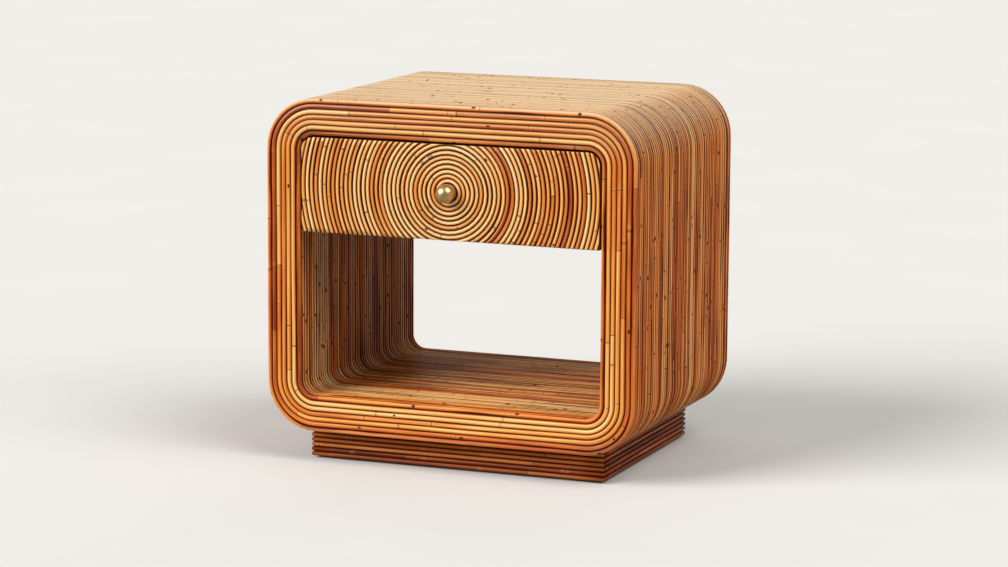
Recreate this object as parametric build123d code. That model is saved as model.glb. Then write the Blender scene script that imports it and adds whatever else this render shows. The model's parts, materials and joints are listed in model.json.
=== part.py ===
"""Cane-clad bedside table: a rounded loop, open from front to back, on an inset plinth, with one drawer.

The loop is a hollow timber core. Canes are wrapped round its outside and its inside, and split canes
follow its outline on the front and back faces. The drawer runs on ball-bearing slides, and its face is
covered with split canes bent into rings round the knob. A bent cane has a plain ridge for its crown, and
a straight one a narrow flat. On the straight runs of the wraps that show, three canes share one ridge,
and their bends and the ring on the back are plain. The front faces -Y and +Z is up.
"""
from build123d import *
import math
import os

# Overall size, in millimetres
WIDTH = 610.0  # across the outer canes of the loop
DEPTH = 450.0  # front canes to back canes, without the knob
HEIGHT = 572.0  # floor to the top canes
CORNER_RADIUS = 80.0  # outer corners of the loop
LEAST_RADIUS = 2.0  # sharpest corner of a line drawn inside the loop

# Canes of the loop
CANE_PITCH = 8.25  # one cane with its joint
RING_CANES = 7  # canes across the wall of the loop, one of each wrap included
CANE_JOINT = 0.25  # open joint between neighbouring split canes
CANE_TOUCH = 0.9  # height up to which the split canes of a ring touch each other
CROWN_WIDTH = 3.8  # narrow top of a straight split cane and of the ridges on the table's top
RIDGE_CANES = 3  # canes of a wrap that share one ridge
WRAP_EASE = 2.1  # eased edge where a wrap ends on the front face

# Hollow core of the loop
FACE_BOARD = 9.0  # boards behind the two wraps
BATTEN_DEPTH = 30.0  # battens between the boards, along the front and back edges

# Plinth and floor pads
PLINTH_HEIGHT = 46.0
PLINTH_SIDE_INSET = 60.0  # from the sides of the loop
PLINTH_END_INSET = 34.0  # from the front and back faces of the loop
PLINTH_BOARD = 18.0
PLINTH_CANES = 6  # canes up the height of the plinth
CORNER_BLOCK = 44.0
PAD_SIZE = 22.0  # square felt pads under the corner blocks
PAD_HEIGHT = 3.0

# Drawer front and knob
DRAWER_FRONT_HEIGHT = 146.75
DRAWER_GAP = 2.5  # between the drawer front and the inner canes
DRAWER_CANE_PITCH = 7.25
FRONT_BOARD = 15.0
KNOB_DIAMETER = 30.0
KNOB_REACH = 26.0  # in front of the canes
KNOB_STEM = 14.0
KNOB_STEM_HEIGHT = 10.5
KNOB_SHOULDER = 5.5  # from the widest part of the head up to its slope
KNOB_FLAT = 12.0  # across the flat tip
BARE_RINGS = 2  # cane widths left bare round the stem, behind the knob's head

# Drawer box
BOX_WALL = 12.0
BOX_LIFT = 6.0  # above the dust panel
BOX_HEADROOM = 31.0  # below the canes over the compartment
BOX_BACK_ROOM = 38.0  # in front of the back panel
BOTTOM_PANEL = 6.0
BOTTOM_RISE = 8.0  # from the lower edge of the box to its bottom panel
GROOVE_DEPTH = 5.0
GROOVE_PLAY = 0.3

# Drawer compartment
BACK_PANEL = 9.0
BACK_PANEL_GAP = 0.4
DUST_PANEL = 6.0
DUST_RISE = 1.0  # above the lower edge of the drawer front
DUST_SETBACK = 2.0  # behind the board of the drawer front
RUNNER_THICKNESS = 10.0
RUNNER_HEIGHT = 75.0

# Ball-bearing slides
SLIDE_HEIGHT = 45.0
SLIDE_THICKNESS = 12.7
SLIDE_SETBACK = 4.0  # behind the board of the drawer front
SLIDE_BACK_ROOM = 64.0  # in front of the back panel
RAIL_WALL = 1.2
RAIL_PLAY = 0.8  # between the nested rails
BALL_GAP = 3.3  # ball race between two rails
BALL_PLAY = 0.15
CAGE_LENGTH = 90.0
CAGE_WIDTH = 5.0

# Places that follow from the sizes
WALL = RING_CANES * CANE_PITCH
SPLIT_CANE = CANE_PITCH / 2
DRAWER_SPLIT_CANE = DRAWER_CANE_PITCH / 2
BACK = (DEPTH + KNOB_REACH) / 2
FRONT = BACK - DEPTH
MIDDLE = (FRONT + BACK) / 2
LOOP_BOTTOM = PAD_HEIGHT + PLINTH_HEIGHT
LOOP_HEIGHT = HEIGHT - LOOP_BOTTOM
LOOP_CENTRE = LOOP_BOTTOM + LOOP_HEIGHT / 2
CORE_OUTER = CANE_PITCH
CORE_INNER = WALL - CANE_PITCH
CORE_FRONT = FRONT + SPLIT_CANE
CORE_BACK = BACK - SPLIT_CANE
INNER_SIDE = WIDTH / 2 - WALL
INNER_TOP = HEIGHT - WALL
STRAIGHT_X = WIDTH / 2 - CORNER_RADIUS
STRAIGHT_Z = LOOP_HEIGHT / 2 - CORNER_RADIUS

DRAWER_TOP = INNER_TOP - DRAWER_GAP
DRAWER_BOTTOM = DRAWER_TOP - DRAWER_FRONT_HEIGHT
KNOB_Z = (DRAWER_TOP + DRAWER_BOTTOM) / 2
BOARD_FACE = FRONT + DRAWER_SPLIT_CANE
BOARD_REAR = BOARD_FACE + FRONT_BOARD
DUST_BOTTOM = DRAWER_BOTTOM + DUST_RISE
DUST_TOP = DUST_BOTTOM + DUST_PANEL
DUST_FRONT = BOARD_REAR + DUST_SETBACK
PANEL_FRONT = CORE_BACK - BACK_PANEL
RUNNER_SIDE = INNER_SIDE - RUNNER_THICKNESS
BOX_SIDE = RUNNER_SIDE - SLIDE_THICKNESS
BOX_INNER = BOX_SIDE - BOX_WALL
BOX_BOTTOM = DUST_TOP + BOX_LIFT
BOX_TOP = INNER_TOP - BOX_HEADROOM
BOX_BACK = PANEL_FRONT - BOX_BACK_ROOM
SLIDE_Z = DUST_TOP + RUNNER_HEIGHT / 2
SLIDE_FRONT = BOARD_REAR + SLIDE_SETBACK
SLIDE_LENGTH = PANEL_FRONT - SLIDE_BACK_ROOM - SLIDE_FRONT

MIDDLE_PLANE = Plane(origin=(0, MIDDLE, 0), x_dir=(1, 0, 0), z_dir=(0, 1, 0))
LEVEL_PLANE = Plane(origin=(0, 0, LOOP_CENTRE), x_dir=(1, 0, 0), z_dir=(0, 0, 1))


def block(x, y, z):
    """Box between pairs of limits on the three axes."""
    sizes = [limits[1] - limits[0] for limits in (x, y, z)]
    centre = [(limits[0] + limits[1]) / 2 for limits in (x, y, z)]
    return Pos(*centre) * Box(*sizes)


def outline(inset, y):
    """The loop's outline drawn in by an inset, as a face at depth y that looks to the front."""
    plane = Plane(origin=(0, y, LOOP_CENTRE), x_dir=(1, 0, 0), z_dir=(0, -1, 0))
    width = WIDTH - 2 * inset
    height = LOOP_HEIGHT - 2 * inset
    return plane * RectangleRounded(width, height, max(CORNER_RADIUS - inset, LEAST_RADIUS))


def band(outer, inner, front, back):
    """Closed band between two insets of the loop's outline."""
    length = back - front
    return extrude(outline(outer, back), length) - extrude(outline(inner, back), length)


def mouth_plate(gap, bottom, front, back):
    """Plate that fills the upper part of the loop's mouth down to a level, with a gap round it."""
    plate = extrude(outline(WALL + gap, back), back - front)
    return split(plate, bisect_by=Plane.XY.offset(bottom), keep=Keep.TOP)


def plain_wrap(shown, hidden):
    """Section of a plain wrap, as points of depth and inset, eased where it shows at the front."""
    eased = shown + math.copysign(WRAP_EASE, hidden - shown)
    return [(FRONT, hidden), (BACK, hidden), (BACK, shown), (FRONT + WRAP_EASE, shown), (FRONT, eased)]


def ridged_wrap(shown, hidden, crown):
    """The same section with ridges on the side that shows, each with a sharp crown or a flat of a width."""
    ridges = round(DEPTH / (RIDGE_CANES * CANE_PITCH))
    pitch = DEPTH / ridges
    valley = shown + math.copysign(SPLIT_CANE - CANE_TOUCH, hidden - shown)
    edges = (crown / 2, -crown / 2) if crown else (0,)
    line = [(BACK - pitch / 2, valley)]
    for ridge in range(1, ridges):
        middle = BACK - ridge * pitch
        line += [(middle + edge, shown) for edge in edges] + [(middle - pitch / 2, valley)]
    plain = plain_wrap(shown, hidden)
    return plain[:3] + line + plain[3:]


def run(section, start, along, length):
    """Straight run of a wrap; a section's insets are measured from its start."""
    plane = Plane(origin=start, x_dir=(0, 1, 0), z_dir=along)
    return extrude(plane * make_face(Polyline(*section, close=True)), length)


def wrap(plain, top, bottom, side, side_top):
    """Wrap round the loop from the sections of its runs; above a level its sides have the plain section."""
    low, high = LOOP_CENTRE - STRAIGHT_Z, LOOP_CENTRE + STRAIGHT_Z
    bend = Plane(origin=(WIDTH / 2, 0, high), x_dir=(0, 1, 0), z_dir=(0, 0, 1))
    face = bend * make_face(Polyline(*plain, close=True))
    corner = revolve(face, Axis((STRAIGHT_X, 0, high), (0, -1, 0)), 90)
    flank = run(side, (WIDTH / 2, 0, low), (0, 0, 1), side_top - low)
    right = [corner, mirror(corner, about=LEVEL_PLANE), flank]
    if side_top < high:
        right.append(run(plain, (WIDTH / 2, 0, side_top), (0, 0, 1), high - side_top))
    pieces = right + [mirror(piece, about=Plane.YZ) for piece in right]
    pieces.append(run(bottom, (-STRAIGHT_X, 0, LOOP_BOTTOM), (1, 0, 0), 2 * STRAIGHT_X))
    return run(top, (STRAIGHT_X, 0, HEIGHT), (-1, 0, 0), 2 * STRAIGHT_X) + pieces


def outer_wrap():
    """Canes round the outside, ridged on the top and the sides."""
    plain = plain_wrap(0, CORE_OUTER)
    top = ridged_wrap(0, CORE_OUTER, CROWN_WIDTH)
    side = ridged_wrap(0, CORE_OUTER, 0)
    return wrap(plain, top, plain, side, LOOP_CENTRE + STRAIGHT_Z)


def inner_wrap():
    """Canes round the inside, ridged on the shelf and on the sides below the drawer's compartment."""
    plain = plain_wrap(WALL, CORE_INNER)
    ridged = ridged_wrap(WALL, CORE_INNER, 0)
    return wrap(plain, plain, ridged, ridged, DRAWER_BOTTOM)


def moulding(section):
    """Runs a section, points of inset and height, round the loop's outline on the front of the core."""
    face = make_face(Polyline(*[(CORNER_RADIUS - inset, height) for inset, height in section], close=True))
    centre = (STRAIGHT_X, CORE_FRONT, LOOP_CENTRE + STRAIGHT_Z)
    side = Plane(origin=centre, x_dir=(1, 0, 0), z_dir=(0, 0, -1)) * face
    top = Plane(origin=centre, x_dir=(0, 0, 1), z_dir=(1, 0, 0)) * face
    corner = revolve(side, Axis(centre, (0, -1, 0)), 90)
    quarter = corner + extrude(side, STRAIGHT_Z) + extrude(top, -STRAIGHT_X)
    half = quarter + mirror(quarter, about=Plane.YZ)
    return half + mirror(half, about=LEVEL_PLANE)


def ring_canes():
    """Split canes that follow the outline on the front of the core, ridged, touching along their feet."""
    section = [(CANE_PITCH + CANE_JOINT / 2, 0)]
    for number in range(1, RING_CANES - 1):
        section.append(((number + 0.5) * CANE_PITCH, SPLIT_CANE))
        section.append(((number + 1) * CANE_PITCH, CANE_TOUCH))
    section[-1] = ((RING_CANES - 1) * CANE_PITCH - CANE_JOINT / 2, 0)
    return moulding(section)


def core_boards():
    """Flat boards of the hollow core, outer and inner, on the four sides of the loop."""
    boards = {}
    layers = {"outer": CORE_OUTER, "inner": CORE_INNER - FACE_BOARD}
    depth = (CORE_FRONT, CORE_BACK)
    for layer, inset in layers.items():
        level = LOOP_HEIGHT / 2 - inset
        side = WIDTH / 2 - inset
        across = (-STRAIGHT_X, STRAIGHT_X)
        upright = (LOOP_CENTRE - STRAIGHT_Z, LOOP_CENTRE + STRAIGHT_Z)
        top = (LOOP_CENTRE + level - FACE_BOARD, LOOP_CENTRE + level)
        bottom = (LOOP_CENTRE - level, LOOP_CENTRE - level + FACE_BOARD)
        boards[f"top_{layer}_board"] = block(across, depth, top)
        boards[f"bottom_{layer}_board"] = block(across, depth, bottom)
        boards[f"left_{layer}_board"] = block((-side, -side + FACE_BOARD), depth, upright)
        boards[f"right_{layer}_board"] = block((side - FACE_BOARD, side), depth, upright)
    return boards


def front_battens():
    """Battens between the outer and inner boards, along the front edge of each side."""
    ring = band(CORE_OUTER + FACE_BOARD, CORE_INNER - FACE_BOARD, CORE_FRONT, CORE_FRONT + BATTEN_DEPTH)
    upright = block(
        (-WIDTH / 2, WIDTH / 2),
        (CORE_FRONT, CORE_FRONT + BATTEN_DEPTH),
        (LOOP_CENTRE - STRAIGHT_Z, LOOP_CENTRE + STRAIGHT_Z),
    )
    across = block(
        (-STRAIGHT_X, STRAIGHT_X),
        (CORE_FRONT, CORE_FRONT + BATTEN_DEPTH),
        (LOOP_BOTTOM, HEIGHT),
    )
    return (ring & upright).solids() + (ring & across).solids()


def corner_post(side, end):
    """Rounded corner post of the core, from the front to the back; side and end are +1 or -1."""
    ring = band(CORE_OUTER, CORE_INNER, CORE_FRONT, CORE_BACK)
    across = sorted((side * STRAIGHT_X, side * WIDTH / 2))
    upright = sorted((LOOP_CENTRE + end * STRAIGHT_Z, LOOP_CENTRE + end * LOOP_HEIGHT / 2))
    return ring & block(across, (CORE_FRONT, CORE_BACK), upright)


def straight_cane(length, pitch, end_slope):
    """Split cane along X with its flat side at z = 0; sloping ends lengthen its crown."""
    foot = (pitch - CANE_JOINT) / 2
    crown = CROWN_WIDTH / 2
    rise = pitch / 2
    section = make_face(Polyline((-foot, 0), (foot, 0), (crown, rise), (-crown, rise), close=True))
    cane = extrude(Plane.YZ * section, length / 2 + rise, both=True)
    for end in (-1, 1):
        cut = Plane(origin=(end * length / 2, 0, 0), x_dir=(0, 1, 0), z_dir=(end, 0, -end_slope))
        cane = split(cane, bisect_by=cut, keep=Keep.BOTTOM)
    return cane


def plinth():
    """Boards, canes, corner blocks and floor pads of the plinth."""
    pitch = PLINTH_HEIGHT / PLINTH_CANES
    half_x = WIDTH / 2 - PLINTH_SIDE_INSET - pitch / 2
    half_y = DEPTH / 2 - PLINTH_END_INSET - pitch / 2
    height = (PAD_HEIGHT, LOOP_BOTTOM)
    inner_x = half_x - PLINTH_BOARD
    inner_y = half_y - PLINTH_BOARD
    nodes = {}
    sides = {
        "front": ((0, -1, 0), (1, 0, 0), half_y, half_x),
        "right": ((1, 0, 0), (0, 1, 0), half_x, half_y),
        "back": ((0, 1, 0), (-1, 0, 0), half_y, half_x),
        "left": ((-1, 0, 0), (0, -1, 0), half_x, half_y),
    }
    for name, (outward, along, reach, half_length) in sides.items():
        centre = Vector(0, MIDDLE, PAD_HEIGHT) + Vector(*outward) * reach
        face = Plane(origin=centre, x_dir=along, z_dir=outward)
        cane = straight_cane(2 * half_length, pitch, 1)
        canes = [face * Pos(0, (row + 0.5) * pitch, 0) * cane for row in range(PLINTH_CANES)]
        nodes[f"plinth_{name}_canes"] = canes
    across = (-half_x, half_x)
    between = (MIDDLE - inner_y, MIDDLE + inner_y)
    nodes["plinth_front_board"] = block(across, (MIDDLE - half_y, MIDDLE - inner_y), height)
    nodes["plinth_back_board"] = block(across, (MIDDLE + inner_y, MIDDLE + half_y), height)
    nodes["plinth_left_board"] = block((-half_x, -inner_x), between, height)
    nodes["plinth_right_board"] = block((inner_x, half_x), between, height)
    blocks = []
    pads = []
    for side in (-1, 1):
        for end in (-1, 1):
            x = sorted((side * inner_x, side * (inner_x - CORNER_BLOCK)))
            y = sorted((MIDDLE + end * inner_y, MIDDLE + end * (inner_y - CORNER_BLOCK)))
            blocks.append(block(x, y, height))
            place = (sum(x) / 2, sum(y) / 2, PAD_HEIGHT / 2)
            pads.append(Pos(*place) * Box(PAD_SIZE, PAD_SIZE, PAD_HEIGHT))
    nodes["plinth_corner_blocks"] = blocks
    nodes["floor_pads"] = pads
    return nodes


def turned(section):
    """Solid turned round the knob's axis from points given as radius and height above the front board."""
    plane = Plane(origin=(0, BOARD_FACE, KNOB_Z), x_dir=(1, 0, 0), z_dir=(0, 0, -1))
    return revolve(plane * make_face(Polyline(*section, close=True)), Axis((0, 0, KNOB_Z), (0, 1, 0)))


def drawer_front():
    """Board of the drawer front with its canes, ridged rings round the knob trimmed to the outline."""
    reach = math.hypot(INNER_SIDE - DRAWER_GAP, DRAWER_FRONT_HEIGHT / 2)
    rings = math.ceil(reach / DRAWER_CANE_PITCH)
    section = [(0, -FRONT_BOARD), (0, 0), (BARE_RINGS * DRAWER_CANE_PITCH, 0)]
    for ring in range(BARE_RINGS, rings):
        section.append(((ring + 0.5) * DRAWER_CANE_PITCH, DRAWER_SPLIT_CANE))
        section.append(((ring + 1) * DRAWER_CANE_PITCH, 0))
    section.append((rings * DRAWER_CANE_PITCH, -FRONT_BOARD))
    return turned(section) & mouth_plate(DRAWER_GAP, DRAWER_BOTTOM, FRONT, BOARD_REAR)


def knob():
    """Turned knob: a stem on the front board and a domed head with a flat underside and tip."""
    stem = KNOB_STEM / 2
    head = KNOB_DIAMETER / 2
    tip = DRAWER_SPLIT_CANE + KNOB_REACH
    rim = tip - head
    section = [(0, 0), (stem, 0), (stem, KNOB_STEM_HEIGHT), (head, KNOB_STEM_HEIGHT)]
    section += [(head, rim + KNOB_SHOULDER), (KNOB_FLAT / 2, tip), (0, tip)]
    return turned(section)


def drawer_box():
    """Sides, inner front, back and bottom panel of the drawer box, grooved for the bottom panel."""
    upright = (BOX_BOTTOM, BOX_TOP)
    across = (-BOX_INNER, BOX_INNER)
    panel_x = BOX_INNER + GROOVE_DEPTH
    panel_y = (BOARD_REAR + BOX_WALL - GROOVE_DEPTH, BOX_BACK - BOX_WALL + GROOVE_DEPTH)
    panel_z = (BOX_BOTTOM + BOTTOM_RISE, BOX_BOTTOM + BOTTOM_RISE + BOTTOM_PANEL)
    groove = block(
        (-panel_x - GROOVE_PLAY, panel_x + GROOVE_PLAY),
        (panel_y[0] - GROOVE_PLAY, panel_y[1] + GROOVE_PLAY),
        (panel_z[0], panel_z[1] + GROOVE_PLAY),
    )
    left = block((-BOX_SIDE, -BOX_INNER), (BOARD_REAR, BOX_BACK), upright) - groove
    return {
        "drawer_left_side": left,
        "drawer_right_side": mirror(left, about=Plane.YZ),
        "drawer_inner_front": block(across, (BOARD_REAR, BOARD_REAR + BOX_WALL), upright) - groove,
        "drawer_back": block(across, (BOX_BACK - BOX_WALL, BOX_BACK), upright) - groove,
        "drawer_bottom": block((-panel_x, panel_x), panel_y, panel_z),
    }


def channel(web, tip, height):
    """Channel rail: its web starts at one distance from the runner and its flanges end at another."""
    depth = abs(tip - web)
    inner_shift = math.copysign(RAIL_WALL, tip - web)
    centre = (web + tip) / 2 - RUNNER_SIDE
    outer = Pos(centre, 0) * Rectangle(depth, height)
    hollow = Pos(centre + inner_shift, 0) * Rectangle(depth, height - 2 * RAIL_WALL)
    plane = Plane(origin=(0, SLIDE_FRONT + SLIDE_LENGTH, SLIDE_Z), x_dir=(1, 0, 0), z_dir=(0, -1, 0))
    return extrude(plane * (outer - hollow), SLIDE_LENGTH)


def ball_strips(inner_half_height, start, end):
    """Upper and lower strips of balls in their cage, running between two rails."""
    middle = SLIDE_FRONT + SLIDE_LENGTH / 2
    centre = (start + end) / 2 - RUNNER_SIDE
    x = (centre - CAGE_WIDTH / 2, centre + CAGE_WIDTH / 2)
    y = (middle - CAGE_LENGTH / 2, middle + CAGE_LENGTH / 2)
    low = inner_half_height + BALL_PLAY
    high = inner_half_height + BALL_GAP - BALL_PLAY
    upper = block(x, y, (SLIDE_Z + low, SLIDE_Z + high))
    lower = block(x, y, (SLIDE_Z - high, SLIDE_Z - low))
    return [upper, lower]


def slides():
    """Two slides, each a cabinet rail, a middle rail, a drawer rail and two pairs of ball strips."""
    step = RAIL_WALL + RAIL_PLAY
    middle_height = SLIDE_HEIGHT - 2 * (RAIL_WALL + BALL_GAP)
    drawer_height = middle_height - 2 * (RAIL_WALL + BALL_GAP)
    left = {
        "cabinet_rail": [channel(0, SLIDE_THICKNESS - RAIL_WALL, SLIDE_HEIGHT)],
        "middle_rail": [channel(step, SLIDE_THICKNESS - step, middle_height)],
        "drawer_rail": [channel(SLIDE_THICKNESS, 2 * step, drawer_height)],
        "outer_ball_strips": ball_strips(middle_height / 2, step, SLIDE_THICKNESS - RAIL_WALL),
        "inner_ball_strips": ball_strips(drawer_height / 2, 2 * step, SLIDE_THICKNESS - step),
    }
    nodes = {}
    for name, pieces in left.items():
        nodes[f"left_{name}"] = pieces
        nodes[f"right_{name}"] = [mirror(piece, about=Plane.YZ) for piece in pieces]
    return nodes


def compartment():
    """Dust panel, slide runners and back panel of the drawer's compartment."""
    panel = mouth_plate(BACK_PANEL_GAP, DRAWER_BOTTOM, PANEL_FRONT, CORE_BACK)
    height = INNER_TOP - BACK_PANEL_GAP - DRAWER_BOTTOM
    rows = round(height / CANE_PITCH)
    pitch = height / rows
    face = mouth_plate(BACK_PANEL_GAP, DRAWER_BOTTOM, CORE_BACK, BACK)
    rear = Plane(origin=(0, CORE_BACK, DRAWER_BOTTOM), x_dir=(-1, 0, 0), z_dir=(0, 1, 0))
    cane = straight_cane(2 * INNER_SIDE, pitch, 0)
    canes = [rear * Pos(0, (row + 0.5) * pitch, 0) * cane for row in range(rows)]
    depth = (DUST_FRONT, PANEL_FRONT)
    left = block((-INNER_SIDE, -RUNNER_SIDE), depth, (DUST_TOP, DUST_TOP + RUNNER_HEIGHT))
    return {
        "back_panel": panel,
        "back_panel_canes": [cane & face for cane in canes],
        "dust_panel": block((-INNER_SIDE, INNER_SIDE), depth, (DUST_BOTTOM, DUST_TOP)),
        "left_runner": left,
        "right_runner": mirror(left, about=Plane.YZ),
    }


def table():
    """Every piece of the table, by name."""
    battens = front_battens()
    nodes = {
        "outer_cane_wrap": outer_wrap(),
        "inner_cane_wrap": inner_wrap(),
        "front_ring_canes": ring_canes(),
        "back_ring_canes": band(CORE_OUTER, CORE_INNER, CORE_BACK, BACK),
        "front_battens": battens,
        "back_battens": [mirror(batten, about=MIDDLE_PLANE) for batten in battens],
    }
    for side, side_name in ((-1, "left"), (1, "right")):
        for end, end_name in ((-1, "lower"), (1, "upper")):
            nodes[f"{end_name}_{side_name}_corner_post"] = corner_post(side, end)
    nodes.update(core_boards())
    nodes.update(plinth())
    nodes.update(compartment())
    nodes.update(slides())
    nodes.update(drawer_box())
    nodes["drawer_front"] = drawer_front()
    nodes["knob"] = knob()
    return nodes


def write_parts(nodes):
    """One file for each named piece or group of like pieces."""
    os.makedirs("parts", exist_ok=True)
    for name, pieces in nodes.items():
        shapes = pieces if isinstance(pieces, list) else [pieces]
        solids = [solid for shape in shapes for solid in shape.solids()]
        export_step(Compound(solids), f"parts/{name}.step")


write_parts(table())
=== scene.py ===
# %% [markdown]
# # A nightstand clad in cane
#
# The real table is a hollow timber loop, open from front to back, that stands on a low plinth. Pencil canes are
# glued and pinned over every face of it and lacquered, and its one drawer is faced with canes bent into rings
# round a brass knob. The timber, the drawer box and its slides come from the CAD model. This file adds the canes,
# which make the look of the table, and gives every surface its finish.

# %% Load the model
import json
import random
from math import atan2, ceil, cos, hypot, pi, radians, sin

import bmesh
import bpy
from mathutils import Matrix, Vector, noise


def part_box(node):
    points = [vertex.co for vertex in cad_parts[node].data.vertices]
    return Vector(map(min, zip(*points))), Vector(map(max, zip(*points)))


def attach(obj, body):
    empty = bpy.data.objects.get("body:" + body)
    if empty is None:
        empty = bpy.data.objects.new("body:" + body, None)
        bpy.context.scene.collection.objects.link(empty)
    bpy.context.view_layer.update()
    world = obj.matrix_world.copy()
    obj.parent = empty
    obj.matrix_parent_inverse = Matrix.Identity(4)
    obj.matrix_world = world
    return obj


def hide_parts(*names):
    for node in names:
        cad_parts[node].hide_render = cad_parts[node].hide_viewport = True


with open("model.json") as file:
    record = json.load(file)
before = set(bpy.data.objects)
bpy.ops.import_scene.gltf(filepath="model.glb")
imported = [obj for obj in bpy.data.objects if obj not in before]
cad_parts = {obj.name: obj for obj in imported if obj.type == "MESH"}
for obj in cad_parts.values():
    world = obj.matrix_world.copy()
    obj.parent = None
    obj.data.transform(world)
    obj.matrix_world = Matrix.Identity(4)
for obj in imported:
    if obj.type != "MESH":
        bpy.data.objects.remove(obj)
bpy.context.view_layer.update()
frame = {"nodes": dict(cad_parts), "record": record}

# %% [markdown]
# ## Sizes
#
# Everything is in metres, in the CAD model's own frame: the front faces -Y and Z is up. A piece has to lie exactly
# where the CAD model has it, so the outer sizes are measured from the model's own nodes. Only the few sizes that
# a box can't show, such as the corner radius, are written out.

# %% Measure the loop, the drawer and the plinth
WRAP_LOW, WRAP_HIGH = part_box("outer_cane_wrap")
FRONT, BACK = WRAP_LOW.y, WRAP_HIGH.y
HALF_WIDTH = WRAP_HIGH.x
LOOP_CENTRE = (WRAP_LOW.z + WRAP_HIGH.z) / 2
HALF_HEIGHT = (WRAP_HIGH.z - WRAP_LOW.z) / 2
CORNER = 0.080  # radius of the loop's outer corners
CANE = 0.00825  # pitch of the canes
RING = 7  # canes across the wall of the loop
DRAWER_GAP = 0.0025  # round the drawer front
PANEL_GAP = 0.0005  # round the canes of the back panel
HAIR = 0.00005  # keeps neighbouring canes apart
STRAIGHT_X = HALF_WIDTH - CORNER
STRAIGHT_Z = HALF_HEIGHT - CORNER
DRAWER_LOW, DRAWER_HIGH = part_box("drawer_front")
KNOB_Z = (DRAWER_LOW.z + DRAWER_HIGH.z) / 2
print("loop", round(2 * HALF_WIDTH, 3), round(2 * HALF_HEIGHT, 3))
print("drawer front", tuple(DRAWER_LOW), tuple(DRAWER_HIGH))

# %% [markdown]
# ## A helper for finishes
#
# A finish is a small graph of shader nodes. Adding nodes and links by hand takes many lines, so this class has
# short calls for the ones used most: a sum, a smooth step from one value to another, a noise, a ramp of colours.
# A value that is the same all over a surface is set on the shader itself.

# %% Finish class
class Finish:
    """A material under construction."""

    def __init__(self, name, **constants):
        self.material = bpy.data.materials.new(name)
        self.material.use_nodes = True
        self.tree = self.material.node_tree
        self.shader = self.tree.nodes["Principled BSDF"]
        for socket, value in constants.items():
            self.shader.inputs[socket.replace("_", " ").title().replace("Ior", "IOR")].default_value = value

    def put(self, socket, value):
        """Links an output to a socket, or sets the socket to a number or colour."""
        if isinstance(value, bpy.types.NodeSocket):
            self.tree.links.new(value, socket)
        else:
            socket.default_value = value

    def node(self, kind, inputs=(), **settings):
        made = self.tree.nodes.new("ShaderNode" + kind)
        for name, value in settings.items():
            setattr(made, name, value)
        for socket, value in dict(inputs).items():
            self.put(made.inputs[socket], value)
        return made

    def math(self, operation, *values):
        made = self.node("Math", enumerate(values), operation=operation)
        return made.outputs[0]

    def step(self, value, none, full):
        """0 where the value is at none, 1 where it is at full, and a smooth change between them."""
        inputs = {"Value": value, "From Min": none, "From Max": full}
        return self.node("MapRange", inputs, interpolation_type="SMOOTHSTEP").outputs[0]

    def vector(self, x, y, z=0.0):
        return self.node("CombineXYZ", enumerate((x, y, z))).outputs[0]

    def parts(self, vector):
        return self.node("SeparateXYZ", {0: vector}).outputs

    def noise(self, vector, scale=1.0, detail=3.0, distortion=0.0):
        inputs = {"Vector": vector, "Scale": scale, "Detail": detail, "Distortion": distortion}
        return self.node("TexNoise", inputs).outputs["Fac"]

    def drawn_out(self, along, across, scales, detail=3.0):
        """Noise with one scale along a cane and another across it."""
        place = [self.math("MULTIPLY", value, scale) for value, scale in zip((along, across), scales)]
        return self.noise(self.vector(*place), detail=detail)

    def chance(self, x, y):
        """A fixed chance number from 0 to 1 for each pair of whole numbers, and a colour of three more."""
        made = self.node("TexWhiteNoise", {"Vector": self.vector(x, y)}, noise_dimensions="2D")
        return made.outputs["Value"], made.outputs["Color"]

    def ramp(self, value, *stops):
        made = self.node("ValToRGB", {0: value})
        elements = made.color_ramp.elements
        while len(elements) < len(stops):
            elements.new(1.0)
        for element, (place, colour) in zip(elements, stops):
            element.position = place
            element.color = (*colour, 1.0)
        return made.outputs["Color"]

    def mix(self, share, first, second, blend="MIX"):
        made = self.node("Mix", data_type="RGBA", blend_type=blend)
        for socket, value in ((0, share), (6, first), (7, second)):
            if isinstance(value, tuple):
                value = (*value, 1.0)
            self.put(made.inputs[socket], value)
        return made.outputs[2]

    def surface(self, colour, roughness, height, depth, strength=1.0):
        """Joins colour, roughness and bump to the shader."""
        bump = self.node("Bump", {"Height": height, "Distance": depth, "Strength": strength})
        self.put(self.shader.inputs["Base Color"], colour)
        self.put(self.shader.inputs["Roughness"], roughness)
        self.put(self.shader.inputs["Normal"], bump.outputs[0])
        return self.material


print("finish helper ready")

# %% [markdown]
# ## The cane finish
#
# Rattan canes are sorted only roughly, so each one has its own tone, from dark red-brown to pale straw. Along a cane
# run fine fibres, every thirty centimetres or so there is a swollen ring where a leaf grew, and where one length
# ends the next is butted against it with a thin dark joint. Brads leave small dark holes. The flanks of a cane are
# darkened to russet and the groove between two canes to nearly black, partly for the stain that collects there and
# partly as painted shade between the round canes. Canes are never quite straight, so neighbours part in some places,
# and there the dark line, painted shade in the gap, is wider. All of this follows the cane, not the room, so the
# finish reads a UV map in which U is the metres along the cane and V is the cane's number plus the turn round it, 0.5
# at the crown. Faces that look up on the top of the table also get painted sheen: a paler tone and colour for the
# light that the lacquer reflects there.

# %% Cane finish
LEAF_SPACING = 0.29
BRAD_SPACING = 0.085
ROUND_CANE = 0.026  # once round a cane
# Pale straw colour of the painted sheen on the top, for the light that the lacquer reflects there
PAINTED_SHEEN_COLOUR = (0.56, 0.61, 0.45)
LEAF_SCAR = (0.80, 0.42, 0.14)
# Colours multiplied in on a cane's flanks and in the groove: partly the stain that collects there, partly painted
# shade
FLANK_STAIN_AND_SHADE = (0.74, 0.44, 0.24)
GROOVE_STAIN_AND_SHADE = (0.180, 0.025, 0.006)
HOLE = (0.060, 0.014, 0.004)


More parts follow.
